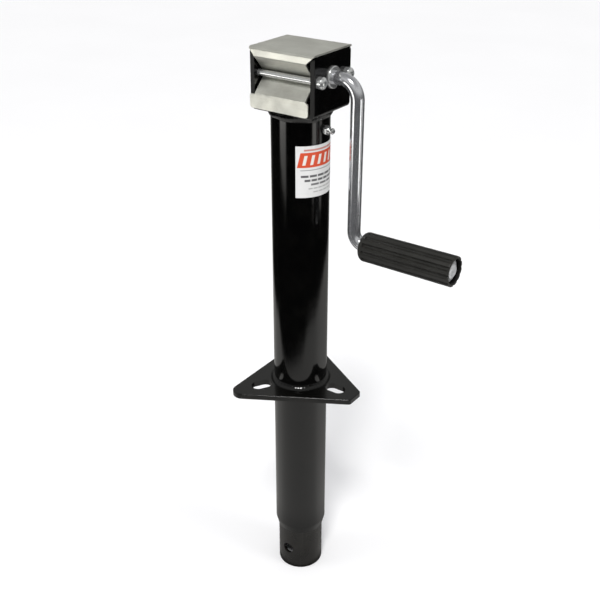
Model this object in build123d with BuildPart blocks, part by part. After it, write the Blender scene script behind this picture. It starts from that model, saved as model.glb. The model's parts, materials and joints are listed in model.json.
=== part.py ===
"""Trailer tongue jack, side-wind type, with a three-bolt A-frame flange.

Frame: millimetres, +Z up. The origin is on the tube's axis at the underside of
the flange plate. +X runs along the crank shaft towards the crank, -Y is the
front of the gear head. The leg is fully retracted and the crank hangs down.
"""

import math
import os

from build123d import *

os.makedirs("parts", exist_ok=True)

# ---------------------------------------------------------------- dimensions
INCH = 25.4

# outer tube: 2 1/4 in steel tube, its lower end swaged in around the leg
TUBE_OD = 2.25 * INCH
TUBE_ID = 51.0
TUBE_TOP = 304.2
TUBE_BOTTOM = -196.0
SWAGE_LENGTH = 9.0
SWAGE_END_R = 26.3

# inner leg: 2 in steel tube with a 1/2 in cross pin hole
LEG_OD = 2.0 * INCH
LEG_WALL = 3.0
LEG_ID = LEG_OD - 2 * LEG_WALL
LEG_BOTTOM = -250.8
LEG_TOP = 268.0
LEG_HOLE_R = 6.6
LEG_HOLE_UP = 26.4

# flange plate: equilateral triangle with radial slots
PLATE_T = 6.0
PLATE_INRADIUS = 44.3
PLATE_TIP_R = 78.2  # rounded corners reach this far from the axis
PLATE_CUT_X = 71.3  # the corner under the crank is cut straight here
SLOT_CENTRE_R = 45.7
SLOT_LENGTH = 22.5
SLOT_R = 7.2
WELD_LEG = 4.6
RELIEF = 0.3  # shallow band rolled in the tube where the plate is welded on

# gear head
HEAD_HALF_X = 36.0
HEAD_WALL = 4.5
HEAD_HALF_Y = 29.3
HEAD_BOTTOM = 304.2
HEAD_WALL_TOP = 360.7
HEAD_BEND_R = 5.0

# folded sheet cover
COVER_T = 1.6
COVER_HALF_Y = 31.0
COVER_TOP = 362.4
COVER_BEND_R = 2.8
LIP_BOTTOM = 353.5
VEE_Y = 18.6
VEE_TOP = 338.8
VEE_BOTTOM = 333.3
BAND_TOP = 320.6
BAND_BOTTOM = 305.6
VEE_ENDS = (-29.6, 27.2)
BAND_ENDS = (-35.9, 30.0)
BAND_CORNER_R = 3.0

# cover screws
SCREW_Y = 21.9
SCREW_Z = 337.4
SCREW_R = 3.15
SCREW_HEAD_R = 5.6
SCREW_HEAD_H = 7.4

# crank
AXIS_Z = 338.1
ROD_R = 6.35
ARM_X = 63.3
TOP_BEND_R = 18.0
LOW_BEND_R = 13.0
GRIP_Z = 180.6
SHAFT_END_X = -HEAD_HALF_X - 5.1
ROD_END_X = 170.2

# grip
GRIP_X0 = 75.0
GRIP_X1 = 172.6
GRIP_R0 = 14.5
GRIP_R1 = 14.8
GRIP_BORE_R = ROD_R + 0.08
GRIP_RIBS = 12

# bevel gears
MODULE = 2.0
PINION_TEETH = 12
GEAR_TEETH = 20
PRESSURE_ANGLE = 25.0
ADDENDUM = 0.8 * MODULE
DEDENDUM = 1.0 * MODULE
FACE_WIDTH = 6.0
FLANK_PLAY = 0.14  # taken off each flank, measured along the pitch circle

# lifting screw: 3/4 in, 6 threads per inch, drawn as its plain cylinder
LEAD = INCH / 6
LEAD_SCREW_R = 0.375 * INCH
JOURNAL_R = 7.0
SCREW_TOP = 330.6
SCREW_BOTTOM = -152.0

# thrust bearing on the head floor
FLOOR_TOP = HEAD_BOTTOM + HEAD_WALL
RACE_T = 1.2
BALL_R = 1.75
BALL_CIRCLE_R = 11.0
BALL_COUNT = 14
RACE_OUT_R = 14.5
GEAR_HUB_BOTTOM = FLOOR_TOP + 2 * RACE_T + 2 * BALL_R + 0.06

made = []


def keep(part, label):
    """Label one finished piece and write its file."""
    part.label = label
    export_step(part, "parts/" + label + ".step")
    made.append(label)
    print(label, "valid", part.is_valid, "volume", round(part.volume, 1))


# ------------------------------------------------------------------ outer tube
GREASE_Z = 287.4
with BuildPart() as outer_tube:
    with BuildSketch(Plane.XZ):
        with BuildLine():
            Polyline(
                (TUBE_ID / 2, TUBE_BOTTOM),
                (SWAGE_END_R, TUBE_BOTTOM),
                (TUBE_OD / 2, TUBE_BOTTOM + SWAGE_LENGTH),
                (TUBE_OD / 2, 0),
                (TUBE_OD / 2 - RELIEF, 0),
                (TUBE_OD / 2 - RELIEF, PLATE_T),
                (TUBE_OD / 2, PLATE_T),
                (TUBE_OD / 2, TUBE_TOP),
                (TUBE_ID / 2, TUBE_TOP),
                close=True,
            )
        make_face()
    revolve(axis=Axis.Z)
    swage_rim = (
        outer_tube.edges()
        .filter_by(GeomType.CIRCLE)
        .filter_by(lambda e: abs(e.center().Z - TUBE_BOTTOM - SWAGE_LENGTH) < 0.1)
    )
    fillet(swage_rim, radius=3.0)
    # tapped hole of the grease fitting
    with BuildSketch(Plane.YZ.offset(TUBE_ID / 2 - 1.0)):
        with Locations((0, GREASE_Z)):
            Circle(3.0)
    extrude(amount=TUBE_OD / 2 - TUBE_ID / 2 + 2.0, mode=Mode.SUBTRACT)
keep(outer_tube.part, "outer_tube")

# -------------------------------------------------------------- flange plate
# corner angles 0, 120 and 240 degrees; the sides are PLATE_INRADIUS from the axis
CORNER_R = 2 * PLATE_INRADIUS
# a fillet of radius f leaves the corner's tip at CORNER_R - f
CORNER_FILLET = CORNER_R - PLATE_TIP_R
corners = [
    (
        CORNER_R * math.cos(math.radians(a)),
        CORNER_R * math.sin(math.radians(a)),
    )
    for a in (120, 240)
]
# where the straight cut meets the two sides next to the corner at 0 degrees
CUT_Y = (CORNER_R - PLATE_CUT_X) * math.tan(math.radians(30))
with BuildPart() as mounting_plate:
    with BuildSketch(Plane.XY):
        with BuildLine():
            Polyline(
                (PLATE_CUT_X, CUT_Y),
                corners[0],
                corners[1],
                (PLATE_CUT_X, -CUT_Y),
                close=True,
            )
        make_face()
        fillet(vertices().group_by(Axis.X)[0], radius=CORNER_FILLET)
        fillet(vertices().group_by(Axis.X)[-1], radius=4.0)
        Circle(TUBE_OD / 2, mode=Mode.SUBTRACT)
        with PolarLocations(SLOT_CENTRE_R, 3):
            SlotOverall(SLOT_LENGTH, 2 * SLOT_R, mode=Mode.SUBTRACT)
    extrude(amount=PLATE_T)
    rims = (
        mounting_plate.faces()
        .filter_by(Axis.Z)
        .sort_by(Axis.Z)[-1]
        .outer_wire()
        .edges()
        + mounting_plate.faces()
        .filter_by(Axis.Z)
        .sort_by(Axis.Z)[0]
        .outer_wire()
        .edges()
    )
    fillet(rims, radius=0.8)
keep(mounting_plate.part, "mounting_plate")

# fillet weld between the tube and the top face of the plate
with BuildPart() as plate_weld:
    with BuildSketch(Plane.XZ):
        with BuildLine():
            Line((TUBE_OD / 2, PLATE_T), (TUBE_OD / 2 + WELD_LEG, PLATE_T))
            ThreePointArc(
                (TUBE_OD / 2 + WELD_LEG, PLATE_T),
                (TUBE_OD / 2 + WELD_LEG * 0.60, PLATE_T + WELD_LEG * 0.60),
                (TUBE_OD / 2, PLATE_T + WELD_LEG),
            )
            Line((TUBE_OD / 2, PLATE_T + WELD_LEG), (TUBE_OD / 2, PLATE_T))
        make_face()
    revolve(axis=Axis.Z)
keep(plate_weld.part, "plate_weld")

# ----------------------------------------------------------------- gear head
with BuildPart() as gear_housing:
    with BuildSketch(Plane.XZ.offset(-HEAD_HALF_Y)):
        with BuildLine():
            Polyline(
                (-HEAD_HALF_X, HEAD_WALL_TOP),
                (-HEAD_HALF_X, HEAD_BOTTOM),
                (HEAD_HALF_X, HEAD_BOTTOM),
                (HEAD_HALF_X, HEAD_WALL_TOP),
                (HEAD_HALF_X - HEAD_WALL, HEAD_WALL_TOP),
                (HEAD_HALF_X - HEAD_WALL, FLOOR_TOP),
                (-HEAD_HALF_X + HEAD_WALL, FLOOR_TOP),
                (-HEAD_HALF_X + HEAD_WALL, HEAD_WALL_TOP),
                close=True,
            )
        make_face()
        fillet(vertices().group_by(Axis.Y)[0], radius=HEAD_BEND_R)
        fillet(
            vertices().filter_by(lambda v: abs(v.Y - FLOOR_TOP) < 0.01),
            radius=HEAD_BEND_R - HEAD_WALL,
        )
    extrude(amount=2 * HEAD_HALF_Y)
    # top corners of both side plates
    fillet(
        gear_housing.edges()
        .filter_by(Axis.X)
        .filter_by(lambda e: abs(e.center().Z - HEAD_WALL_TOP) < 0.01),
        radius=3.6,
    )
    # crank shaft holes and cover screw holes through both side plates
    with BuildSketch(Plane.YZ.offset(-HEAD_HALF_X - 1)):
        with Locations((0, AXIS_Z)):
            Circle(8.0)
    extrude(amount=2 * HEAD_HALF_X + 2, mode=Mode.SUBTRACT)
    # clear on the crank's side, tapped on the other (its thread drawn plain)
    for start, radius in (
        (-HEAD_HALF_X - 1, SCREW_R + 0.02),
        (0, SCREW_R + 0.15),
    ):
        with BuildSketch(Plane.YZ.offset(start)):
            with Locations((-SCREW_Y, SCREW_Z), (SCREW_Y, SCREW_Z)):
                Circle(radius)
        extrude(amount=HEAD_HALF_X + 1, mode=Mode.SUBTRACT)
    # hole in the floor for the lifting screw
    with BuildSketch(Plane.XY.offset(HEAD_BOTTOM - 1)):
        Circle(JOURNAL_R + 1.0)
    extrude(amount=HEAD_WALL + 2, mode=Mode.SUBTRACT)
keep(gear_housing.part, "gear_housing")

# weld ring between the tube's top and the floor of the head
with BuildPart() as housing_weld:
    with BuildSketch(Plane.XZ):
        with BuildLine():
            Line((TUBE_OD / 2, HEAD_BOTTOM), (TUBE_OD / 2 + 3.4, HEAD_BOTTOM))
            ThreePointArc(
                (TUBE_OD / 2 + 3.4, HEAD_BOTTOM),
                (TUBE_OD / 2 + 2.3, HEAD_BOTTOM - 4.0),
                (TUBE_OD / 2, HEAD_BOTTOM - 6.8),
            )
            Line((TUBE_OD / 2, HEAD_BOTTOM - 6.8), (TUBE_OD / 2, HEAD_BOTTOM))
        make_face()
    revolve(axis=Axis.Z)
keep(housing_weld.part, "housing_weld")

# plate inside the tube's top that guides the screw, with its bronze bush
SUPPORT_T = 8.0
SUPPORT_TOP = HEAD_BOTTOM
with BuildPart() as screw_support:
    with BuildSketch(Plane.XY.offset(SUPPORT_TOP - SUPPORT_T)):
        Circle(TUBE_ID / 2)
        Circle(JOURNAL_R + 2.5, mode=Mode.SUBTRACT)
    extrude(amount=SUPPORT_T)
    chamfer(
        screw_support.faces().sort_by(Axis.Z)[0].outer_wire().edges(), length=1.0
    )
keep(screw_support.part, "screw_support")

BUSH_FLANGE_R = JOURNAL_R + 4.2
with BuildPart() as screw_bush:
    with BuildSketch(Plane.XY.offset(SUPPORT_TOP - SUPPORT_T)):
        Circle(JOURNAL_R + 2.5)
        Circle(JOURNAL_R + 0.06, mode=Mode.SUBTRACT)
    extrude(amount=SUPPORT_T)
    with BuildSketch(Plane.XY.offset(SUPPORT_TOP - SUPPORT_T - 1.5)):
        Circle(BUSH_FLANGE_R)
        Circle(JOURNAL_R + 0.06, mode=Mode.SUBTRACT)
    extrude(amount=1.5)
keep(screw_bush.part, "screw_bush")

# ------------------------------------------------------------- folded cover
# outer line of the sheet from the middle of the top down the front
front_outer = [
    (0.0, COVER_TOP),
    (COVER_HALF_Y, COVER_TOP),
    (COVER_HALF_Y, LIP_BOTTOM),
    (VEE_Y, VEE_TOP),
    (VEE_Y, VEE_BOTTOM),
    (COVER_HALF_Y, BAND_TOP),
    (COVER_HALF_Y, BAND_BOTTOM),
]


def inset(points, d):
    """The same open line moved d to its inner side (mitred corners)."""
    normals = [
        (
            (by - ay) / math.hypot(bx - ax, by - ay),
            -(bx - ax) / math.hypot(bx - ax, by - ay),
        )
        for (ax, ay), (bx, by) in zip(points, points[1:])
    ]
    out = []
    for i, (px, py) in enumerate(points):
        if i == 0:
            n = normals[0]
            out.append((px + n[0] * d, py + n[1] * d))
        elif i == len(points) - 1:
            n = normals[-1]
            out.append((px + n[0] * d, py + n[1] * d))
        else:
            a, b = normals[i - 1], normals[i]
            k = 1 + a[0] * b[0] + a[1] * b[1]
            out.append((px + (a[0] + b[0]) / k * d, py + (a[1] + b[1]) / k * d))
    return out


front_inner = inset(front_outer, COVER_T)


def both_sides(outer, inner):
    """Closed section of the sheet: rear outer, front outer, front inner, rear inner."""
    line = [(-y, z) for y, z in reversed(outer[1:])] + outer[1:]
    back = list(reversed(inner[1:])) + [(-y, z) for y, z in inner[1:]]
    return line + back


with BuildPart() as gear_cover:
    with BuildSketch(Plane.YZ.offset(-HEAD_HALF_X - 0.1)) as cover_section:
        with BuildLine():
            Polyline(*both_sides(front_outer, front_inner), close=True)
        make_face()
        top_outer = vertices().filter_by(
            lambda v: abs(v.Y - COVER_TOP) < 0.01
            and abs(abs(v.X) - COVER_HALF_Y) < 0.01
        )
        fillet(top_outer, radius=COVER_BEND_R)
        top_inner = vertices().filter_by(
            lambda v: abs(v.Y - (COVER_TOP - COVER_T)) < 0.01
            and abs(abs(v.X) - (COVER_HALF_Y - COVER_T)) < 0.01
        )
        fillet(top_inner, radius=COVER_BEND_R - COVER_T)
        lip_out = vertices().filter_by(
            lambda v: abs(v.Y - LIP_BOTTOM) < 0.01
            or abs(v.Y - BAND_TOP) < 0.01
        )
        fillet(lip_out, radius=2.4)
        vee_in = vertices().filter_by(
            lambda v: (abs(v.Y - VEE_TOP) < 0.01 or abs(v.Y - VEE_BOTTOM) < 0.01)
            and abs(abs(v.X) - VEE_Y) < 0.01
        )
        fillet(vee_in, radius=2.0)
    extrude(amount=2 * HEAD_HALF_X + 0.2)
    # the grooved part of each wall is narrower than the head and fits between
    # the side plates; the lip above it tapers out to the full width of the top,
    # and the band below it laps over the front edge of the far plate
    for side, vee_end, band_end in (
        (-1, -VEE_ENDS[0], -BAND_ENDS[0]),
        (1, VEE_ENDS[1], BAND_ENDS[1]),
    ):
        corner = [
            (
                side * (band_end - BAND_CORNER_R * (1 - math.cos(t))),
                BAND_BOTTOM + BAND_CORNER_R * (1 - math.sin(t)),
            )
            for t in [math.radians(15 * k) for k in range(7)]
        ]
        with BuildSketch(Plane.XZ.offset(-60)):
            with BuildLine():
                Polyline(
                    (side * (HEAD_HALF_X + 2), COVER_TOP - COVER_T - 0.05),
                    (side * (HEAD_HALF_X - 0.2), COVER_TOP - COVER_T - 0.05),
                    (side * (vee_end + 1.2), LIP_BOTTOM + 1.2),
                    (side * vee_end, LIP_BOTTOM - 1.2),
                    (side * vee_end, BAND_TOP + 1.4),
                    (side * (vee_end + 0.4), BAND_TOP - 1.6),
                    (side * (band_end - 0.8), BAND_TOP - 2.0),
                    (side * band_end, BAND_TOP - 2.8),
                    *corner,
                    (side * (band_end - BAND_CORNER_R), BAND_BOTTOM - 5),
                    (side * (HEAD_HALF_X + 2), BAND_BOTTOM - 5),
                    close=True,
                )
            make_face()
        extrude(amount=120, mode=Mode.SUBTRACT)
keep(gear_cover.part, "gear_cover")

# -------------------------------------------------------------- cover screws
SCREW_TIP_X = -HEAD_HALF_X - 1.0
with BuildPart() as cover_screws:
    for y in (-SCREW_Y, SCREW_Y):
        with BuildSketch(Plane.YZ.offset(SCREW_TIP_X)):
            with Locations((y, SCREW_Z)):
                Circle(SCREW_R)
        extrude(amount=HEAD_HALF_X - SCREW_TIP_X)
        # domed pan head
        with BuildSketch(Plane.XY.offset(SCREW_Z)):
            with BuildLine():
                Line((HEAD_HALF_X, y), (HEAD_HALF_X, y + SCREW_HEAD_R))
                Line(
                    (HEAD_HALF_X, y + SCREW_HEAD_R),
                    (HEAD_HALF_X + 4.6, y + SCREW_HEAD_R),
                )
                ThreePointArc(
                    (HEAD_HALF_X + 4.6, y + SCREW_HEAD_R),
                    (HEAD_HALF_X + 6.6, y + SCREW_HEAD_R * 0.68),
                    (HEAD_HALF_X + SCREW_HEAD_H, y),
                )
                Line((HEAD_HALF_X + SCREW_HEAD_H, y), (HEAD_HALF_X, y))
            make_face()
        revolve(axis=Axis((0, y, SCREW_Z), (1, 0, 0)))
    # cross recess, a tapered cross sunk in each head
    for y in (-SCREW_Y, SCREW_Y):
        with BuildSketch(Plane.YZ.offset(HEAD_HALF_X + SCREW_HEAD_H - 2.6)):
            with Locations((y, SCREW_Z)):
                Rectangle(5.4, 1.2, rotation=45)
                Rectangle(5.4, 1.2, rotation=-45)
                Circle(1.4)
        extrude(amount=3.2, taper=-9, mode=Mode.SUBTRACT)
    chamfer(
        cover_screws.edges()
        .filter_by(GeomType.CIRCLE)
        .filter_by(lambda e: abs(e.center().X - SCREW_TIP_X) < 0.01),
        length=0.7,
    )
keep(cover_screws.part, "cover_screws")

# -------------------------------------------------------- crank shaft bushes
BUSH_R = 8.0
BUSH_BORE_R = ROD_R + 0.06
with BuildPart() as shaft_bush_right:
    with BuildSketch(Plane.XY.offset(AXIS_Z)):
        with BuildLine():
            Polyline(
                (HEAD_HALF_X - HEAD_WALL - 1.4, BUSH_BORE_R),
                (HEAD_HALF_X - HEAD_WALL - 1.4, BUSH_R),
                (HEAD_HALF_X, BUSH_R),
                (HEAD_HALF_X, 10.3),
                (HEAD_HALF_X + 2.4, 10.3),
                (HEAD_HALF_X + 2.4, BUSH_BORE_R),
                close=True,
            )
        make_face()
        fillet(
            vertices().filter_by(
                lambda v: abs(v.X - HEAD_HALF_X - 2.4) < 0.01 and v.Y > 9
            ),
            radius=1.1,
        )
    revolve(axis=Axis((0, 0, AXIS_Z), (1, 0, 0)))
keep(shaft_bush_right.part, "shaft_bush_right")

with BuildPart() as shaft_bush_left:
    with BuildSketch(Plane.XY.offset(AXIS_Z)):
        with BuildLine():
            Polyline(
                (-HEAD_HALF_X + HEAD_WALL, BUSH_BORE_R),
                (-HEAD_HALF_X + HEAD_WALL, BUSH_R),
                (-HEAD_HALF_X, BUSH_R),
                (-HEAD_HALF_X, 10.3),
                (-HEAD_HALF_X - 1.6, 10.3),
                (-HEAD_HALF_X - 1.6, BUSH_BORE_R),
                close=True,
            )
        make_face()
    revolve(axis=Axis((0, 0, AXIS_Z), (1, 0, 0)))
keep(shaft_bush_left.part, "shaft_bush_left")

# ------------------------------------------------------------------ crank rod
CLIP_X = -HEAD_HALF_X - 2.4
CLIP_GROOVE_R = 5.35
CLIP_T = 1.2
with BuildPart() as crank_rod:
    with BuildLine(Plane.XZ):
        FilletPolyline(
            (SHAFT_END_X, AXIS_Z),
            (ARM_X, AXIS_Z),
            (ARM_X, GRIP_Z),
            (ROD_END_X, GRIP_Z),
            radius=[TOP_BEND_R, LOW_BEND_R],
        )
    with BuildSketch(Plane.YZ.offset(SHAFT_END_X)):
        with Locations((0, AXIS_Z)):
            Circle(ROD_R)
    sweep()
    chamfer(
        crank_rod.edges()
        .filter_by(GeomType.CIRCLE)
        .filter_by(
            lambda e: abs(e.center().X - SHAFT_END_X) < 0.01
            or abs(e.center().X - ROD_END_X) < 0.01
        ),
        length=0.8,
    )
    # groove of the retaining clip
    with BuildSketch(Plane.YZ.offset(CLIP_X - CLIP_T / 2 - 0.05)):
        with Locations((0, AXIS_Z)):
            Circle(ROD_R + 1)
            Circle(CLIP_GROOVE_R, mode=Mode.SUBTRACT)
    extrude(amount=CLIP_T + 0.1, mode=Mode.SUBTRACT)
    # cross hole of the pinion's pin
    with BuildSketch(Plane.XY.offset(AXIS_Z - 15)):
        with Locations((-24.2, 0)):
            Circle(2.02)
    extrude(amount=30, mode=Mode.SUBTRACT)
    # groove of the push-on cap near the free end
    with BuildSketch(Plane.YZ.offset(ROD_END_X - 3.0)):
        with Locations((0, GRIP_Z)):
            Circle(ROD_R + 1)
            Circle(ROD_R - 0.5, mode=Mode.SUBTRACT)
    extrude(amount=1.0, mode=Mode.SUBTRACT)
keep(crank_rod.part, "crank_rod")

with BuildPart() as crank_clip:
    with BuildSketch(Plane.YZ.offset(CLIP_X - CLIP_T / 2)):
        with Locations((0, AXIS_Z)):
            Circle(9.2)
            Circle(CLIP_GROOVE_R + 0.02, mode=Mode.SUBTRACT)
        with Locations((0, AXIS_Z + 8)):
            Rectangle(6.4, 8.0, mode=Mode.SUBTRACT)
    extrude(amount=CLIP_T)
keep(crank_clip.part, "crank_clip")

# ------------------------------------------------------------------ the grip
GRIP_RECESS_R = 11.9
GRIP_RECESS_DEPTH = 5.5
with BuildPart() as crank_grip:
    with BuildSketch(Plane.XZ):
        with BuildLine():
            Polyline(
                (GRIP_X0, GRIP_Z + GRIP_BORE_R + 0.9),
                (GRIP_X0, GRIP_Z + GRIP_R0),
                (GRIP_X1, GRIP_Z + GRIP_R1),
                (GRIP_X1, GRIP_Z + GRIP_RECESS_R + 0.3),
                (GRIP_X1 - GRIP_RECESS_DEPTH, GRIP_Z + GRIP_RECESS_R),
                (GRIP_X1 - GRIP_RECESS_DEPTH, GRIP_Z + GRIP_BORE_R),
                (GRIP_X0 + 4.0, GRIP_Z + GRIP_BORE_R),
                close=True,
            )
        make_face()
        fillet(
            vertices().filter_by(
                lambda v: abs(v.X - GRIP_X0) < 0.01 and v.Y > GRIP_Z + 10
            ),
            radius=4.2,
        )
        fillet(
            vertices().filter_by(
                lambda v: abs(v.X - GRIP_X1) < 0.01 and v.Y > GRIP_Z + 13.5
            ),
            radius=0.9,
        )
    revolve(axis=Axis((0, 0, GRIP_Z), (1, 0, 0)))
    # long flutes, which run out through the open end
    with BuildSketch(Plane.YZ.offset(GRIP_X0 + 5.5)):
        with Locations((0, GRIP_Z)):
            with PolarLocations(GRIP_R0 + 0.55, GRIP_RIBS):
                Circle(1.95)
    with BuildSketch(Plane.YZ.offset(GRIP_X1 + 1.0)):
        with Locations((0, GRIP_Z)):
            with PolarLocations(GRIP_R1 + 0.55, GRIP_RIBS):
                Circle(2.15)
    pairs = list(
        zip(
            crank_grip.pending_faces[:GRIP_RIBS],
            crank_grip.pending_faces[GRIP_RIBS:],
        )
    )
    crank_grip.pending_faces = []
    crank_grip.pending_face_planes = []
    for near, far in pairs:
        loft(sections=[near, far], mode=Mode.SUBTRACT)
keep(crank_grip.part, "crank_grip")

# push-on cap on the bar's end, seen in the grip's recess
CAP_X = GRIP_X1 - GRIP_RECESS_DEPTH + 0.25
with BuildPart() as grip_retainer:
    with BuildSketch(Plane.XZ):
        with BuildLine():
            Polyline(
                (CAP_X, GRIP_Z + ROD_R + 0.02),
                (CAP_X, GRIP_Z + 11.0),
                (CAP_X + 1.0, GRIP_Z + 11.0),
                (CAP_X + 1.0, GRIP_Z + ROD_R + 1.4),
                (ROD_END_X + 0.1, GRIP_Z + ROD_R + 1.0),
                (ROD_END_X + 1.3, GRIP_Z + ROD_R - 1.0),
                (ROD_END_X + 1.3, GRIP_Z),
                (ROD_END_X + 0.1, GRIP_Z),
                (ROD_END_X + 0.1, GRIP_Z + ROD_R + 0.02),
                close=True,
            )
        make_face()
    revolve(axis=Axis((0, 0, GRIP_Z), (1, 0, 0)))
keep(grip_retainer.part, "grip_retainer")

# --------------------------------------------------------------- bevel gears
# Octoid teeth. A crown gear with flat flanks through the cone apex generates
# each member; a contact line is the pitch line's direction with its part along
# the flank's normal taken away, turned back by the member's own rotation.
CONE_DISTANCE = MODULE / 2 * math.hypot(PINION_TEETH, GEAR_TEETH)
INNER_SCALE = (CONE_DISTANCE - FACE_WIDTH) / CONE_DISTANCE


def flank_point(teeth, cone_deg, turn):
    """One flank point (across, height) in the plane square to the pitch line.

    Across is the half width of the tooth there and height its distance above
    the pitch cone; turn is the member's rotation, zero at the pitch line.
    """
    d = math.radians(cone_deg)
    alpha = math.radians(PRESSURE_ANGLE)
    # directions: along the pitch line, across the tooth, out of the member
    g = (math.cos(d), 0.0, -math.sin(d))
    half = math.pi / 2 / teeth - FLANK_PLAY / (MODULE * teeth / 2)
    crown = turn * math.sin(d)
    nt, nc = math.cos(alpha), math.sin(alpha)
    n = (-nt * math.sin(crown), nt * math.cos(crown), nc)
    p = (1 - n[0] * n[0], -n[0] * n[1], -n[0] * n[2])
    angle = turn - half
    c, s = math.cos(angle), math.sin(angle)
    k = (
        g[1] * p[2] - g[2] * p[1],
        g[2] * p[0] - g[0] * p[2],
        g[0] * p[1] - g[1] * p[0],
    )
    gp = g[0] * p[0] + g[1] * p[1] + g[2] * p[2]
    q = [p[i] * c + k[i] * s + g[i] * gp * (1 - c) for i in range(3)]
    return q[1] / q[0] * CONE_DISTANCE, q[2] / q[0] * CONE_DISTANCE


def tooth_outline(teeth, cone_deg):
    """Half outline of one tooth at its outer end, root first, (across, height)."""
    step = 0.004
    up, down = [], [flank_point(teeth, cone_deg, 0.0)]
    turn = step
    while True:
        up.append(flank_point(teeth, cone_deg, turn))
        turn += step
        if up[-1][1] > ADDENDUM + 0.2:
            break
    turn = -step
    while True:
        nxt = flank_point(teeth, cone_deg, turn)
        turn -= step
        if nxt[1] >= down[-1][1] or nxt[1] < -DEDENDUM - 0.7:
            break
        down.append(nxt)
    line = list(reversed(down)) + up
    virtual = MODULE * teeth / 2 / math.cos(math.radians(cone_deg))
    side = []
    for i in range(10):
        h = -DEDENDUM - 0.5 + (ADDENDUM + DEDENDUM + 0.5) * i / 9
        if h <= line[0][1]:
            # below the flank's foot the tooth runs straight to the centre
            a0, h0 = line[0]
            side.append((a0 * (virtual + h) / (virtual + h0), h))
            continue
        for (a, ha), (b, hb) in zip(line, line[1:]):
            if ha <= h <= hb:
                side.append((a + (b - a) * (h - ha) / (hb - ha), h))
                break
    return side


PINION_CONE = math.degrees(math.atan(PINION_TEETH / GEAR_TEETH))
GEAR_CONE = 90 - PINION_CONE


def tooth_solid(teeth, cone_deg, apex, axis_dir, radial_dir):
    """One tooth as a ruled loft between its outlines at the two ends."""
    side = tooth_outline(teeth, cone_deg)
    d = math.radians(cone_deg)
    axis_dir, radial_dir = Vector(*axis_dir), Vector(*radial_dir)
    along = axis_dir * math.cos(d) + radial_dir * math.sin(d)
    out = radial_dir * math.cos(d) - axis_dir * math.sin(d)
    across = along.cross(out)
    outline = [(a, h) for a, h in side] + [(-a, h) for a, h in reversed(side)]
    with BuildPart() as tooth:
        for scale in (1.0, INNER_SCALE):
            centre = Vector(*apex) + along * (CONE_DISTANCE * scale)
            plane = Plane(origin=centre, x_dir=across, z_dir=across.cross(out))
            with BuildSketch(plane):
                with BuildLine():
                    Polyline(
                        *[(a * scale, h * scale) for a, h in outline], close=True
                    )
                make_face()
        loft(ruled=True)
    return tooth.part


# pinion on the crank shaft, on the far side of the screw from the crank
PIN_X = -24.2
APEX = (0.0, 0.0, AXIS_Z)


def cone_point(cone_deg, height, scale=1.0):
    """(radius, distance from the apex along the axis) of a point on a blank."""
    d = math.radians(cone_deg)
    r = (CONE_DISTANCE * math.sin(d) + height * math.cos(d)) * scale
    s = (CONE_DISTANCE * math.cos(d) - height * math.sin(d)) * scale
    return r, s


p_root_out = cone_point(PINION_CONE, -DEDENDUM)
p_root_in = cone_point(PINION_CONE, -DEDENDUM, INNER_SCALE)
PINION_HUB_R = 10.2
PINION_BACK = 28.4
pinion_tooth = tooth_solid(
    PINION_TEETH, PINION_CONE, APEX, (-1, 0, 0), (0, 0, -1)
)
with BuildPart() as pinion_gear:
    with BuildSketch(Plane.XY.offset(AXIS_Z)):
        with BuildLine():
            Polyline(
                (-p_root_in[1], ROD_R + 0.02),
                (-p_root_in[1], p_root_in[0]),
                (-p_root_out[1], p_root_out[0]),
                (-p_root_out[1] - 0.8, PINION_HUB_R),
                (-PINION_BACK, PINION_HUB_R),
                (-PINION_BACK, ROD_R + 0.02),
                close=True,
            )
        make_face()
    revolve(axis=Axis((0, 0, AXIS_Z), (1, 0, 0)))
    for k in range(PINION_TEETH):
        add(
            pinion_tooth.rotate(
                Axis((0, 0, AXIS_Z), (1, 0, 0)), 360 / PINION_TEETH * (k + 0.5)
            )
        )
    # bore and cross hole of the pin
    with BuildSketch(Plane.YZ.offset(-40)):
        with Locations((0, AXIS_Z)):
            Circle(ROD_R + 0.02)
    extrude(amount=40, mode=Mode.SUBTRACT)
    with BuildSketch(Plane.XY.offset(AXIS_Z - 15)):
        with Locations((PIN_X, 0)):
            Circle(2.02)
    extrude(amount=30, mode=Mode.SUBTRACT)
keep(pinion_gear.part, "pinion_gear")

with BuildPart() as pinion_pin:
    with BuildSketch(Plane.XY.offset(AXIS_Z - PINION_HUB_R + 0.2)):
        with Locations((PIN_X, 0)):
            Circle(2.0)
    extrude(amount=2 * PINION_HUB_R - 0.4)
keep(pinion_pin.part, "pinion_pin")

with BuildPart() as shaft_spacer:
    with BuildSketch(Plane.YZ.offset(-HEAD_HALF_X + HEAD_WALL + 0.1)):
        with Locations((0, AXIS_Z)):
            Circle(9.6)
            Circle(ROD_R + 0.04, mode=Mode.SUBTRACT)
    extrude(amount=HEAD_HALF_X - HEAD_WALL - 0.1 - PINION_BACK - 0.1)
keep(shaft_spacer.part, "shaft_spacer")

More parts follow.
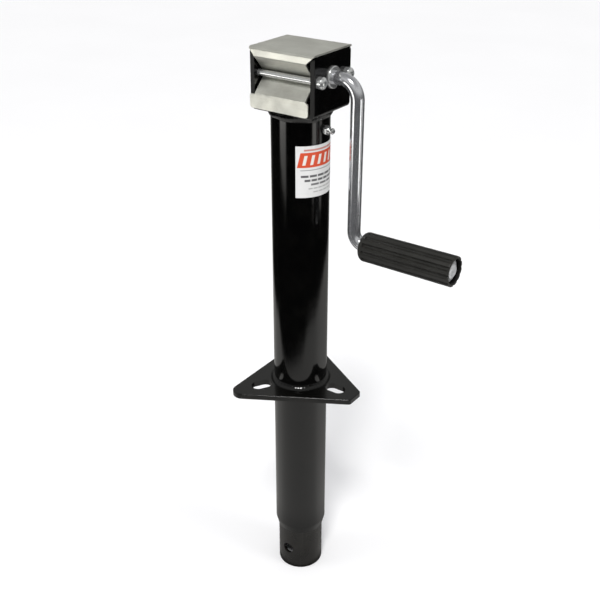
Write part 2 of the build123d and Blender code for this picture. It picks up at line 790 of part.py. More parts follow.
# bevel gear on the screw
g_root_out = cone_point(GEAR_CONE, -DEDENDUM)
g_root_in = cone_point(GEAR_CONE, -DEDENDUM, INNER_SCALE)
g_back = cone_point(GEAR_CONE, -DEDENDUM - 2.2)
GEAR_HUB_R = 13.0
GEAR_PIN_Z = 318.4
gear_tooth = tooth_solid(GEAR_TEETH, GEAR_CONE, APEX, (0, 0, -1), (-1, 0, 0))
with BuildPart() as bevel_gear:
    with BuildSketch(Plane.XZ):
        with BuildLine():
            Polyline(
                (JOURNAL_R + 0.02, AXIS_Z - g_root_in[1]),
                (g_root_in[0], AXIS_Z - g_root_in[1]),
                (g_root_out[0], AXIS_Z - g_root_out[1]),
                (g_back[0], AXIS_Z - g_back[1]),
                (GEAR_HUB_R, AXIS_Z - g_back[1] - 0.8),
                (GEAR_HUB_R, GEAR_HUB_BOTTOM),
                (JOURNAL_R + 0.02, GEAR_HUB_BOTTOM),
                close=True,
            )
        make_face()
    revolve(axis=Axis.Z)
    for k in range(GEAR_TEETH):
        add(gear_tooth.rotate(Axis.Z, 360 / GEAR_TEETH * k))
    with BuildSketch(Plane.XY.offset(GEAR_HUB_BOTTOM - 1)):
        Circle(JOURNAL_R + 0.02)
    extrude(amount=30, mode=Mode.SUBTRACT)
    with BuildSketch(Plane.XZ.offset(-20)):
        with Locations((0, GEAR_PIN_Z)):
            Circle(2.02)
    extrude(amount=40, mode=Mode.SUBTRACT)
keep(bevel_gear.part, "bevel_gear")

with BuildPart() as gear_pin:
    with BuildSketch(Plane.XZ.offset(-GEAR_HUB_R + 0.3)):
        with Locations((0, GEAR_PIN_Z)):
            Circle(2.0)
    extrude(amount=2 * GEAR_HUB_R - 0.6)
keep(gear_pin.part, "gear_pin")

# ------------------------------------------------------------- thrust bearing
with BuildPart() as lower_thrust_race:
    with BuildSketch(Plane.XY.offset(FLOOR_TOP)):
        Circle(RACE_OUT_R)
        Circle(JOURNAL_R + 1.0, mode=Mode.SUBTRACT)
    extrude(amount=RACE_T)
keep(lower_thrust_race.part, "lower_thrust_race")

BALL_Z = FLOOR_TOP + RACE_T + BALL_R + 0.02
with BuildPart() as thrust_balls:
    with PolarLocations(BALL_CIRCLE_R, BALL_COUNT):
        with Locations((0, 0, BALL_Z)):
            Sphere(BALL_R)
keep(thrust_balls.part, "thrust_balls")

with BuildPart() as ball_cage:
    with BuildSketch(Plane.XY.offset(BALL_Z - 0.6)):
        Circle(RACE_OUT_R - 0.3)
        Circle(JOURNAL_R + 0.8, mode=Mode.SUBTRACT)
        with PolarLocations(BALL_CIRCLE_R, BALL_COUNT):
            Circle(BALL_R + 0.06, mode=Mode.SUBTRACT)
    extrude(amount=1.2)
keep(ball_cage.part, "ball_cage")

with BuildPart() as upper_thrust_race:
    with BuildSketch(Plane.XY.offset(GEAR_HUB_BOTTOM - RACE_T)):
        Circle(RACE_OUT_R)
        Circle(JOURNAL_R + 0.02, mode=Mode.SUBTRACT)
    extrude(amount=RACE_T)
keep(upper_thrust_race.part, "upper_thrust_race")

# ------------------------------------------------------------- lifting screw
SHOULDER_Z = SUPPORT_TOP - SUPPORT_T - 1.5 - 0.3
STOP_PIN_Z = -143.0
with BuildPart() as lead_screw:
    with BuildSketch(Plane.XZ):
        with BuildLine():
            Polyline(
                (0, SCREW_BOTTOM),
                (LEAD_SCREW_R - 1.2, SCREW_BOTTOM),
                (LEAD_SCREW_R, SCREW_BOTTOM + 1.2),
                (LEAD_SCREW_R, SHOULDER_Z),
                (JOURNAL_R, SHOULDER_Z),
                (JOURNAL_R, SCREW_TOP - 1.0),
                (JOURNAL_R - 1.0, SCREW_TOP),
                (0, SCREW_TOP),
                close=True,
            )
        make_face()
    revolve(axis=Axis.Z)
    with BuildSketch(Plane.XZ.offset(-20)):
        with Locations((0, GEAR_PIN_Z), (0, STOP_PIN_Z)):
            Circle(2.02)
    extrude(amount=40, mode=Mode.SUBTRACT)
keep(lead_screw.part, "lead_screw")

with BuildPart() as screw_stop:
    with BuildSketch(Plane.XY.offset(STOP_PIN_Z - 6.0)):
        Circle(15.0)
        Circle(LEAD_SCREW_R + 0.02, mode=Mode.SUBTRACT)
    extrude(amount=12.0)
    chamfer(
        screw_stop.edges()
        .filter_by(GeomType.CIRCLE)
        .filter_by(lambda e: abs(e.radius - 15.0) < 0.01),
        length=0.8,
    )
    with BuildSketch(Plane.XZ.offset(-20)):
        with Locations((0, STOP_PIN_Z)):
            Circle(2.02)
    extrude(amount=40, mode=Mode.SUBTRACT)
keep(screw_stop.part, "screw_stop")

with BuildPart() as stop_pin:
    with BuildSketch(Plane.XZ.offset(-14.6)):
        with Locations((0, STOP_PIN_Z)):
            Circle(2.0)
    extrude(amount=29.2)
keep(stop_pin.part, "stop_pin")

# ------------------------------------------------------- inner leg and its nut
NUT_R = LEG_ID / 2 - 0.02
NUT_BODY_H = 20.0
NUT_PIN_Z = LEG_TOP - 11.0
with BuildPart() as inner_leg:
    with BuildSketch(Plane.XY.offset(LEG_BOTTOM)):
        Circle(LEG_OD / 2)
        Circle(LEG_ID / 2, mode=Mode.SUBTRACT)
    extrude(amount=LEG_TOP - LEG_BOTTOM)
    fillet(
        inner_leg.faces().sort_by(Axis.Z)[0].outer_wire().edges(), radius=1.2
    )
    # cross hole for the foot or wheel pin, front to back
    with BuildSketch(Plane.XZ.offset(-40)):
        with Locations((0, LEG_BOTTOM + LEG_HOLE_UP)):
            Circle(LEG_HOLE_R)
    extrude(amount=80, mode=Mode.SUBTRACT)
    # four holes of the nut's rivets
    for angle in (45, 135, 225, 315):
        with BuildSketch(
            Plane(
                origin=(0, 0, NUT_PIN_Z),
                x_dir=(0, 0, 1),
                z_dir=(
                    math.cos(math.radians(angle)),
                    math.sin(math.radians(angle)),
                    0,
                ),
            ).offset(15)
        ):
            Circle(2.52)
        extrude(amount=15, mode=Mode.SUBTRACT)
keep(inner_leg.part, "inner_leg")

with BuildPart() as drive_nut:
    with BuildSketch(Plane.XY.offset(LEG_TOP - NUT_BODY_H)):
        Circle(NUT_R)
    extrude(amount=NUT_BODY_H)
    with BuildSketch(Plane.XY.offset(LEG_TOP)):
        Circle(LEG_OD / 2 - 0.3)
    extrude(amount=5.0)
    with BuildSketch(Plane.XY.offset(LEG_TOP - NUT_BODY_H - 1)):
        Circle(LEAD_SCREW_R + 0.08)
    extrude(amount=NUT_BODY_H + 8, mode=Mode.SUBTRACT)
    for angle in (45, 135, 225, 315):
        with BuildSketch(
            Plane(
                origin=(0, 0, NUT_PIN_Z),
                x_dir=(0, 0, 1),
                z_dir=(
                    math.cos(math.radians(angle)),
                    math.sin(math.radians(angle)),
                    0,
                ),
            ).offset(15)
        ):
            Circle(2.52)
        extrude(amount=15, mode=Mode.SUBTRACT)
keep(drive_nut.part, "drive_nut")

with BuildPart() as nut_pins:
    for angle in (45, 135, 225, 315):
        with BuildSketch(
            Plane(
                origin=(0, 0, NUT_PIN_Z),
                x_dir=(0, 0, 1),
                z_dir=(
                    math.cos(math.radians(angle)),
                    math.sin(math.radians(angle)),
                    0,
                ),
            ).offset(15.1)
        ):
            Circle(2.5)
        extrude(amount=LEG_OD / 2 - 0.1 - 15.1)
keep(nut_pins.part, "nut_pins")

# ------------------------------------------------------------- grease fitting
with BuildPart() as grease_fitting:
    # threaded shank, hexagon, neck and ball tip
    with BuildSketch(Plane.YZ.offset(TUBE_OD / 2 - 1.6)):
        with Locations((0, GREASE_Z)):
            Circle(2.98)
    extrude(amount=2.2)
    with BuildSketch(Plane.YZ.offset(TUBE_OD / 2 + 0.25)):
        with Locations((0, GREASE_Z)):
            RegularPolygon(4.9, 6, rotation=30)
    extrude(amount=3.4)
    with BuildSketch(Plane.XZ):
        x0 = TUBE_OD / 2 + 3.6
        with BuildLine():
            Polyline(
                (x0, GREASE_Z),
                (x0, GREASE_Z + 2.9),
                (x0 + 2.0, GREASE_Z + 1.9),
                (x0 + 3.0, GREASE_Z + 1.9),
                (x0 + 3.8, GREASE_Z + 3.0),
                (x0 + 5.0, GREASE_Z + 3.0),
                (x0 + 6.2, GREASE_Z + 1.8),
                (x0 + 6.2, GREASE_Z),
                close=True,
            )
        make_face()
    revolve(axis=Axis((0, 0, GREASE_Z), (1, 0, 0)))
keep(grease_fitting.part, "grease_fitting")

# ---------------------------------------------------------------------- label
LABEL_Z0, LABEL_Z1 = 224.0, 275.1
LABEL_A0, LABEL_A1 = -64.0, 56.0
LABEL_T = 0.2
with BuildPart() as label:
    with BuildSketch(Plane.XY.offset(LABEL_Z0)):
        with BuildLine():
            r0, r1 = TUBE_OD / 2 + 0.01, TUBE_OD / 2 + 0.01 + LABEL_T
            inner = CenterArc((0, 0), r0, LABEL_A0, LABEL_A1 - LABEL_A0)
            outer = CenterArc((0, 0), r1, LABEL_A0, LABEL_A1 - LABEL_A0)
            Line(inner @ 0, outer @ 0)
            Line(inner @ 1, outer @ 1)
        make_face()
    extrude(amount=LABEL_Z1 - LABEL_Z0)
keep(label.part, "label")

print(len(made), "pieces; bevel ratio", PINION_TEETH, "to", GEAR_TEETH)
print("leg travel per crank turn", round(LEAD * PINION_TEETH / GEAR_TEETH, 4), "mm")
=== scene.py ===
"""Looks of the trailer tongue jack: materials, weld beads, print on the label, studio.

Metres, in the CAD frame: +Z up the tube, +X along the crank shaft, -Y the front
of the gear head, origin on the tube's axis at the underside of the flange.
"""

import json
import math

import bmesh
import bpy
import numpy as np
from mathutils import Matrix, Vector


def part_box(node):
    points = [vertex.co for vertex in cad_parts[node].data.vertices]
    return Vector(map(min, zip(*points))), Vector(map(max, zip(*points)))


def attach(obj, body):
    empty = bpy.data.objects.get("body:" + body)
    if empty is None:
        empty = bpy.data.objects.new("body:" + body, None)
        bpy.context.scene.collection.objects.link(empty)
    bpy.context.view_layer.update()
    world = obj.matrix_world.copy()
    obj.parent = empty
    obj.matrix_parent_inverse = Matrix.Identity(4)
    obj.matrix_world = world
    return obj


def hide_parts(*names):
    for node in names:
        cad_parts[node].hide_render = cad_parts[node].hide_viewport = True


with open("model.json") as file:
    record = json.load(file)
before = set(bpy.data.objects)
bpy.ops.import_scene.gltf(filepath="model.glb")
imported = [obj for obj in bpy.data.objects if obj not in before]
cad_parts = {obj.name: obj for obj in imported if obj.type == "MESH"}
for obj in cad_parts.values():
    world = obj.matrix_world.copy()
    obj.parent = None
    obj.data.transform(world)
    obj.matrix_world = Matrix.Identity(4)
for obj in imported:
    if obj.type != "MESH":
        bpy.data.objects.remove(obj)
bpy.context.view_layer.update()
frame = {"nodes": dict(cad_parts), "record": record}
NODES = frame["nodes"]
SLOTS = {s["node"]: s["material_slot"] for s in frame["record"]["subparts"]}


# ------------------------------------------------------------ shader helpers
class Shader:
    """A material's node tree with short calls for the nodes used here."""

    def __init__(self, name):
        self.mat = bpy.data.materials.new(name)
        self.mat.use_nodes = True
        self.tree = self.mat.node_tree
        self.tree.nodes.clear()
        self.out = self.add("ShaderNodeOutputMaterial")
        self.bsdf = self.add("ShaderNodeBsdfPrincipled")
        self.link(self.bsdf.outputs[0], self.out.inputs["Surface"])
        self.coords = self.add("ShaderNodeTexCoord").outputs["Object"]
        self.last_bump = None

    def add(self, kind, **values):
        node = self.tree.nodes.new(kind)
        for key, value in values.items():
            setattr(node, key, value)
        return node

    def link(self, a, b):
        self.tree.links.new(a, b)

    def feed(self, socket, value):
        if isinstance(value, bpy.types.NodeSocket):
            self.link(value, socket)
        elif hasattr(value, "__len__") and len(value) == 3 and socket.type == "RGBA":
            socket.default_value = (*value, 1.0)
        else:
            socket.default_value = value

    def set(self, name, value):
        self.feed(self.bsdf.inputs[name], value)

    def math(self, operation, a, b=0.0, c=0.0, clamp=False):
        node = self.add("ShaderNodeMath", operation=operation, use_clamp=clamp)
        for socket, value in zip(node.inputs, (a, b, c)):
            self.feed(socket, value)
        return node.outputs[0]

    def scaled(self, scale, offset=(0, 0, 0)):
        """Object coordinates scaled differently along X, Y and Z."""
        node = self.add("ShaderNodeMapping")
        self.link(self.coords, node.inputs["Vector"])
        node.inputs["Scale"].default_value = scale
        node.inputs["Location"].default_value = offset
        return node.outputs[0]

    def noise(self, scale, detail=3.0, rough=0.5, vector=None):
        node = self.add("ShaderNodeTexNoise")
        self.link(vector or self.coords, node.inputs["Vector"])
        node.inputs["Scale"].default_value = scale
        node.inputs["Detail"].default_value = detail
        node.inputs["Roughness"].default_value = rough
        return node.outputs["Fac"]

    def range(self, value, low, high, to_low, to_high, smooth=False):
        node = self.add("ShaderNodeMapRange")
        if smooth:
            node.interpolation_type = "SMOOTHSTEP"
        self.feed(node.inputs["Value"], value)
        for key, number in (
            ("From Min", low),
            ("From Max", high),
            ("To Min", to_low),
            ("To Max", to_high),
        ):
            self.feed(node.inputs[key], number)
        return node.outputs[0]

    def mix(self, factor, a, b, blend="MIX"):
        node = self.add("ShaderNodeMix", data_type="RGBA", blend_type=blend)
        self.feed(node.inputs["Factor"], factor)
        self.feed(node.inputs[6], a)
        self.feed(node.inputs[7], b)
        return node.outputs[2]

    def bump(self, height, distance, strength=1.0):
        """Adds one height to the surface, distance in metres, over those already there."""
        node = self.add("ShaderNodeBump")
        node.inputs["Distance"].default_value = distance
        node.inputs["Strength"].default_value = strength
        self.link(height, node.inputs["Height"])
        if self.last_bump is not None:
            self.link(self.last_bump, node.inputs["Normal"])
        self.last_bump = node.outputs[0]
        self.link(self.last_bump, self.bsdf.inputs["Normal"])

    def sharp_edge_mask(self, low=0.53, high=0.62):
        """1 on sharp outer edges, from the mesh's own curvature."""
        point = self.add("ShaderNodeNewGeometry").outputs["Pointiness"]
        return self.range(point, low, high, 0.0, 1.0)

    def angle_and_height(self):
        """Angle round the tube in degrees and height, both from the frame's axes."""
        split = self.add("ShaderNodeSeparateXYZ")
        self.link(self.coords, split.inputs[0])
        turn = self.math("ARCTAN2", split.outputs["Y"], split.outputs["X"])
        return self.math("MULTIPLY", turn, 180 / math.pi), split.outputs["Z"]


def paint_material():
    """Gloss black coating with faint orange peel, dust and a slight haze."""
    s = Shader("black_paint")
    dust = s.noise(55.0, 6.0, 0.62)
    film = s.noise(9.0, 3.0, 0.5)
    speck = s.range(s.noise(900.0, 2.0, 0.5), 0.70, 0.80, 0.0, 1.0)
    base = s.mix(
        s.range(dust, 0.45, 0.75, 0.0, 1.0),
        (0.0006, 0.0006, 0.0007),
        (0.0022, 0.0021, 0.0019),
    )
    base = s.mix(s.math("MULTIPLY", speck, 0.3), base, (0.03, 0.029, 0.027))
    s.set("Base Color", base)
    # the film is thin and dull on the sheared front and rear edges of the head
    lo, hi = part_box("gear_housing")
    split = s.add("ShaderNodeSeparateXYZ")
    s.link(s.coords, split.inputs[0])
    edge = s.math(
        "MULTIPLY",
        s.range(s.math("ABSOLUTE", split.outputs["Y"]), hi.y - 0.0007, hi.y - 0.0003, 0.0, 1.0),
        s.range(split.outputs["Z"], lo.z, lo.z + 0.001, 0.0, 1.0),
    )
    gloss = s.math(
        "ADD",
        s.range(film, 0.35, 0.65, 0.075, 0.125),
        s.range(dust, 0.5, 0.8, 0.0, 0.06),
    )
    s.set("Roughness", s.math("ADD", gloss, s.math("MULTIPLY", edge, 0.38)))
    s.set("IOR", 1.5)
    s.bump(s.noise(520.0, 2.0, 0.4), 0.000010)
    s.bump(s.noise(150.0, 1.0, 0.4), 0.000022)
    return s.mat


def plate_paint_material():
    """The same coating where it went on thicker and duller, on the hot-rolled flange."""
    s = Shader("black_paint_flange")
    dust = s.noise(70.0, 6.0, 0.65)
    split = s.add("ShaderNodeSeparateXYZ")
    s.link(s.coords, split.inputs[0])
    base = s.mix(
        s.range(dust, 0.40, 0.72, 0.0, 1.0), (0.0008, 0.0008, 0.0007), (0.0026, 0.0025, 0.0022)
    )
    s.set("Base Color", base)
    s.set("Roughness", s.range(s.noise(30.0, 5.0, 0.6), 0.35, 0.7, 0.12, 0.20))
    s.set("IOR", 1.5)
    s.set("Specular IOR Level", 0.42)
    s.bump(s.noise(380.0, 4.0, 0.55), 0.000028)
    s.bump(s.noise(90.0, 2.0, 0.5), 0.00005)
    return s.mat


def leg_material():
    """Satin charcoal tube with drawing lines along it and faint rub marks."""
    s = Shader("leg_paint")
    lines = s.noise(1.0, 4.0, 0.6, s.scaled((620.0, 620.0, 6.0)))
    cloud = s.noise(40.0, 5.0, 0.6)
    base = s.mix(
        s.range(cloud, 0.35, 0.7, 0.0, 1.0), (0.0066, 0.0060, 0.0053), (0.0112, 0.0103, 0.0090)
    )
    base = s.mix(s.range(lines, 0.58, 0.72, 0.0, 0.5), base, (0.03, 0.0285, 0.026))
    s.set("Base Color", base)
    s.set("Roughness", s.range(cloud, 0.3, 0.7, 0.24, 0.36))
    s.set("IOR", 1.5)
    s.bump(lines, 0.000018)
    s.bump(s.noise(260.0, 3.0, 0.5), 0.00002)
    return s.mat


def zinc_sheet_material():
    """Zinc-plated sheet: fine rolling lines along X, cloudy passivation, finger smudges."""
    s = Shader("zinc_sheet")
    rolled = s.noise(1.0, 5.0, 0.65, s.scaled((14.0, 900.0, 900.0)))
    cloud = s.noise(42.0, 4.0, 0.55)
    smudge = s.noise(16.0, 6.0, 0.7, s.scaled((1.0, 1.6, 1.2), (0.3, 0.1, 0.7)))
    base = s.mix(
        s.range(cloud, 0.35, 0.68, 0.0, 1.0), (0.615, 0.615, 0.55), (0.745, 0.75, 0.685)
    )
    base = s.mix(s.range(rolled, 0.35, 0.7, 0.0, 0.35), base, (0.80, 0.80, 0.76))
    base = s.mix(s.range(smudge, 0.56, 0.72, 0.0, 0.38), base, (0.42, 0.415, 0.37))
    # painted shade under the lip, darkest in the corner of the groove
    lo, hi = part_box("gear_cover")
    split = s.add("ShaderNodeSeparateXYZ")
    s.link(s.coords, split.inputs[0])
    deep = s.range(
        s.math("ABSOLUTE", split.outputs["Y"]), hi.y - 0.0128, hi.y - 0.0015, 1.0, 0.0
    )
    above = s.range(split.outputs["Z"], hi.z - 0.0246, hi.z - 0.0238, 0.0, 1.0)
    below = s.range(split.outputs["Z"], hi.z - 0.0020, hi.z - 0.0015, 1.0, 0.0)
    groove_shade = s.math("MULTIPLY", deep, s.math("MULTIPLY", above, below))
    base = s.mix(s.math("MULTIPLY", groove_shade, 0.62), base, (0.20, 0.198, 0.17))
    s.set("Base Color", base)
    s.set("Metallic", 0.86)
    rough = s.math(
        "ADD",
        s.range(cloud, 0.3, 0.7, 0.33, 0.44),
        s.range(smudge, 0.5, 0.75, 0.0, 0.12),
    )
    s.set("Roughness", rough)
    s.bump(rolled, 0.000010)
    s.bump(s.noise(60.0, 2.0, 0.5), 0.00006)
    return s.mat


def zinc_hardware_material():
    """Bright zinc on small turned and pressed parts."""
    s = Shader("zinc_hardware")
    cloud = s.noise(220.0, 4.0, 0.6)
    base = s.mix(
        s.range(cloud, 0.35, 0.7, 0.0, 1.0), (0.66, 0.67, 0.67), (0.74, 0.75, 0.75)
    )
    s.set("Base Color", base)
    s.set("Metallic", 0.85)
    s.set("Roughness", s.range(cloud, 0.3, 0.7, 0.22, 0.25))
    s.bump(s.noise(700.0, 3.0, 0.5), 0.000004)
    return s.mat


def crank_material():
    """Bright plated bar: fine drawing lines, soft clouding, small scuffs."""
    s = Shader("crank_chrome")
    cloud = s.noise(70.0, 4.0, 0.55)
    fine = s.noise(1500.0, 3.0, 0.6)
    scuff = s.range(s.noise(110.0, 7.0, 0.75), 0.66, 0.76, 0.0, 1.0)
    base = s.mix(
        s.range(cloud, 0.35, 0.7, 0.0, 1.0), (0.62, 0.63, 0.66), (0.76, 0.77, 0.80)
    )
    base = s.mix(s.math("MULTIPLY", scuff, 0.35), base, (0.45, 0.45, 0.47))
    s.set("Base Color", base)
    s.set("Metallic", 0.88)
    s.set(
        "Roughness",
        s.math(
            "ADD",
            s.range(cloud, 0.3, 0.7, 0.12, 0.17),
            s.math("MULTIPLY", scuff, 0.16),
        ),
    )
    s.bump(fine, 0.000004)
    s.bump(s.noise(120.0, 2.0, 0.5), 0.00003)
    return s.mat


def grip_material():
    """Moulded charcoal plastic with fine spark-eroded grain, paler on the rib crests."""
    s = Shader("grip_plastic")
    grip_lo, grip_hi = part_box("crank_grip")
    grain = s.noise(1700.0, 3.0, 0.6)
    cloud = s.noise(60.0, 5.0, 0.6)
    crest = s.sharp_edge_mask(0.50, 0.58)
    base = s.mix(
        s.range(cloud, 0.35, 0.7, 0.0, 1.0), (0.0085, 0.0083, 0.0069), (0.0150, 0.0146, 0.0122)
    )
    base = s.mix(s.math("MULTIPLY", crest, 0.6), base, (0.062, 0.060, 0.053))
    # painted shade on the wall of the recess at the open end: darker colour and weaker reflection there
    split = s.add("ShaderNodeSeparateXYZ")
    s.link(s.coords, split.inputs[0])
    centre = 0.5 * (grip_lo.z + grip_hi.z)
    up = s.math("SUBTRACT", split.outputs["Z"], centre)
    square = s.math(
        "ADD",
        s.math("MULTIPLY", split.outputs["Y"], split.outputs["Y"]),
        s.math("MULTIPLY", up, up),
    )
    recess_shade = s.math(
        "MULTIPLY",
        s.range(s.math("SQRT", square), 0.0120, 0.0126, 1.0, 0.0),
        s.range(split.outputs["X"], grip_hi.x - 0.0065, grip_hi.x - 0.0055, 0.0, 1.0),
    )
    base = s.mix(recess_shade, base, (0.0012, 0.0012, 0.0014))
    s.set("Base Color", base)
    s.set("Roughness", s.range(cloud, 0.3, 0.7, 0.40, 0.52))
    s.set("Specular IOR Level", s.range(recess_shade, 0.0, 1.0, 0.5, 0.12))
    s.set("IOR", 1.47)
    s.bump(grain, 0.000035)
    s.bump(s.noise(180.0, 3.0, 0.5), 0.00004)
    return s.mat


def label_material():
    """White vinyl with plain printed shapes: a slanted block, stripes and rules."""
    s = Shader("label_vinyl")
    turn, height = s.angle_and_height()
    lo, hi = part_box("label")
    # arc length from the label's left edge and distance down from its top, in mm
    radius = 28.7
    arc = s.math("MULTIPLY", s.math("ADD", turn, 64.0), math.radians(1) * radius)
    down = s.math("MULTIPLY", s.math("SUBTRACT", hi.z, height), 1000.0)

    def band(value, low, high, soft=0.12):
        up = s.range(value, low - soft, low + soft, 0.0, 1.0)
        off = s.range(value, high - soft, high + soft, 1.0, 0.0)
        return s.math("MULTIPLY", up, off)

    def add(a, b):
        return s.math("MAXIMUM", a, b)

    paper = s.mix(
        s.range(s.noise(120.0, 4.0, 0.6), 0.3, 0.7, 0.0, 1.0),
        (0.70, 0.70, 0.69),
        (0.755, 0.755, 0.75),
    )
    # slanted block with a row of pale slanted stripes in it
    lean = s.math("ADD", arc, s.math("MULTIPLY", down, 0.23))
    block = s.math("MULTIPLY", band(down, 6.4, 21.0), band(lean, 6.2, 58.0))
    phase = s.math("FRACT", s.math("DIVIDE", s.math("SUBTRACT", lean, 9.0), 7.6))
    stripe = s.math(
        "MULTIPLY", band(phase, 0.22, 0.62, 0.02), band(down, 9.2, 18.6)
    )
    stripe = s.math("MULTIPLY", stripe, band(lean, 9.6, 54.6))
    colour = s.mix(block, paper, (0.66, 0.075, 0.024))
    colour = s.mix(s.math("MULTIPLY", stripe, block), colour, (0.80, 0.77, 0.72))
    # thin red rule above the block
    top_rule = s.math("MULTIPLY", band(down, 3.1, 4.9), band(arc, 8.0, 54.0))
    colour = s.mix(s.math("MULTIPLY", top_rule, 0.75), colour, (0.50, 0.09, 0.05))
    # rules of several weights below it, broken into plain dashes
    ink = band(down, 23.3, 24.1)
    ink = s.math("MULTIPLY", s.math("MULTIPLY", ink, band(arc, 4.6, 54.0)), 0.62)
    for top, bottom, start, stop, share, pitch, gap in (
        (28.7, 30.9, 5.0, 54.0, 0.88, 8.7, 0.16),
        (32.9, 35.1, 8.6, 50.5, 0.88, 6.9, 0.18),
        (37.1, 39.1, 15.0, 44.0, 0.80, 9.7, 0.14),
        (41.6, 42.8, 12.5, 47.0, 0.45, 5.3, 0.20),
        (45.2, 46.4, 17.5, 41.5, 0.42, 6.1, 0.20),
    ):
        row = s.math("MULTIPLY", band(down, top, bottom), band(arc, start, stop))
        dash = s.math("FRACT", s.math("DIVIDE", s.math("SUBTRACT", arc, start), pitch))
        row = s.math("MULTIPLY", row, s.range(dash, 1 - gap, 1 - gap + 0.04, 1.0, 0.0))
        ink = add(ink, s.math("MULTIPLY", row, share))
    colour = s.mix(ink, colour, (0.028, 0.028, 0.032))
    s.set("Base Color", colour)
    s.set("Roughness", s.range(s.noise(60.0, 3.0, 0.5), 0.3, 0.7, 0.30, 0.42))
    s.set("IOR", 1.46)
    s.bump(s.noise(300.0, 3.0, 0.5), 0.000012)
    return s.mat


def cap_material():
    """Dull zinc on the stamped push-on cap, scuffed where it was driven home."""
    s = Shader("zinc_cap")
    cloud = s.noise(260.0, 4.0, 0.6)
    scuff = s.range(s.noise(500.0, 5.0, 0.7), 0.58, 0.72, 0.0, 1.0)
    base = s.mix(
        s.range(cloud, 0.35, 0.7, 0.0, 1.0), (0.55, 0.56, 0.57), (0.74, 0.75, 0.76)
    )
    base = s.mix(s.math("MULTIPLY", scuff, 0.45), base, (0.34, 0.34, 0.35))
    s.set("Base Color", base)
    s.set("Metallic", 0.45)
    s.set("Roughness", s.range(cloud, 0.3, 0.7, 0.34, 0.48))
    s.bump(s.noise(600.0, 3.0, 0.5), 0.00002)
    return s.mat


def steel_material(name, low, high, rough, metallic=1.0, lines=(500.0, 500.0, 500.0)):
    """Machined metal: turning lines, light staining."""
    s = Shader(name)
    turned = s.noise(1.0, 3.0, 0.6, s.scaled(lines))
    stain = s.noise(90.0, 5.0, 0.6)
    base = s.mix(s.range(stain, 0.3, 0.7, 0.0, 1.0), low, high)
    s.set("Base Color", base)
    s.set("Metallic", metallic)
    s.set("Roughness", s.range(turned, 0.3, 0.7, rough, rough + 0.14))
    s.bump(turned, 0.000015)
    return s.mat


MATERIALS = {
    "black_paint": paint_material(),
    "leg_paint": leg_material(),
    "zinc_sheet": zinc_sheet_material(),
    "zinc_hardware": zinc_hardware_material(),
    "crank_chrome": crank_material(),
    "grip_plastic": grip_material(),
    "label_vinyl": label_material(),
    "bare_steel": steel_material(
        "bare_steel", (0.40, 0.39, 0.38), (0.58, 0.57, 0.56), 0.28, lines=(120.0, 120.0, 1400.0)
    ),
    "gear_steel": steel_material("gear_steel", (0.22, 0.21, 0.20), (0.38, 0.37, 0.35), 0.34),
    "bearing_steel": steel_material("bearing_steel", (0.60, 0.60, 0.61), (0.74, 0.74, 0.75), 0.12),
    "bronze": steel_material("bronze", (0.48, 0.31, 0.13), (0.66, 0.46, 0.22), 0.26),
}
FLANGE_PAINT = plate_paint_material()
CAP_ZINC = cap_material()


def give(obj, material):
    """Puts one material on every slot of an object."""
    if not obj.material_slots:
        obj.data.materials.append(material)
        return
    for place in obj.material_slots:
        place.link = "OBJECT"
        place.material = material


for node, obj in NODES.items():
    give(obj, MATERIALS[SLOTS[node]])
give(NODES["mounting_plate"], FLANGE_PAINT)
give(NODES["grip_retainer"], CAP_ZINC)


# ---------------------------------------------------------------- new meshes
def mesh_object(name, points, faces, material, smooth=True):
    mesh = bpy.data.meshes.new(name)
    mesh.from_pydata(points, [], faces)
    mesh.materials.append(material)
    made = bmesh.new()
    made.from_mesh(mesh)
    bmesh.ops.recalc_face_normals(made, faces=made.faces)
    made.to_mesh(mesh)
    made.free()
    if smooth:
        mesh.shade_smooth()
    obj = bpy.data.objects.new(name, mesh)
    bpy.context.scene.collection.objects.link(obj)
    return obj


def weld_bead(name, radius, width, height, base_z, up, ripples, swell, depth):
    """A hand-laid fillet bead round the tube: scalloped, uneven, closed mesh."""
    around, across = 12 * ripples, 12
    points, faces = [], []
    for i in range(around):
        turn = 2 * math.pi * i / around
        uneven = 1 + 0.05 * math.sin(3 * turn + 0.7) + 0.035 * math.sin(7 * turn + 2.1)
        w, h = width * uneven, height * (2 - uneven)
        section = []
        for k in range(across + 1):
            t = k / across
            # from the flat plate (t 0) up to the tube (t 1) over a slightly full crown
            along = (i / 12 + 0.42 * (2 * t - 1) ** 2) % 1.0
            scallop = math.sqrt(max(0.0, 1 - (2 * along - 1) ** 2))
            full = swell * math.sin(math.pi * t) + depth * (scallop - 0.7) * min(
                1.0, 6 * t * (1 - t)
            )
            r = radius + w * (1 - t) + 0.7071 * full
            z = base_z + up * (h * t + 0.7071 * full)
            section.append((r, z))
        section.append((radius - 0.0003, base_z + up * h))
        section.append((radius - 0.0003, base_z - up * 0.0002))
        section.append((radius + w, base_z - up * 0.0002))
        for r, z in section:
            points.append((r * math.cos(turn), r * math.sin(turn), z))
    n = across + 4
    for i in range(around):
        a, b = i * n, (i + 1) % around * n
        for k in range(n):
            m = (k + 1) % n
            faces.append((a + k, a + m, b + m, b + k))
    return mesh_object(name, points, faces, MATERIALS["black_paint"])


tube_lo, tube_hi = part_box("outer_tube")
plate_lo, plate_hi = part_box("mounting_plate")
weld_lo, weld_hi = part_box("plate_weld")
TUBE_R = tube_hi.x
lower_bead = weld_bead(
    "plate_weld_bead", TUBE_R - 0.0001, 0.0043, 0.0046, plate_hi.z, 1, 46, 0.0006, 0.00014
)
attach(lower_bead, "jack_body")
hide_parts("plate_weld")
ring_lo, ring_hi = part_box("housing_weld")
upper_bead = weld_bead(
    "housing_weld_bead", TUBE_R - 0.0001, 0.0034, 0.0068, ring_hi.z, -1, 50, 0.0006, 0.00016
)
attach(upper_bead, "jack_body")
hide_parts("housing_weld")

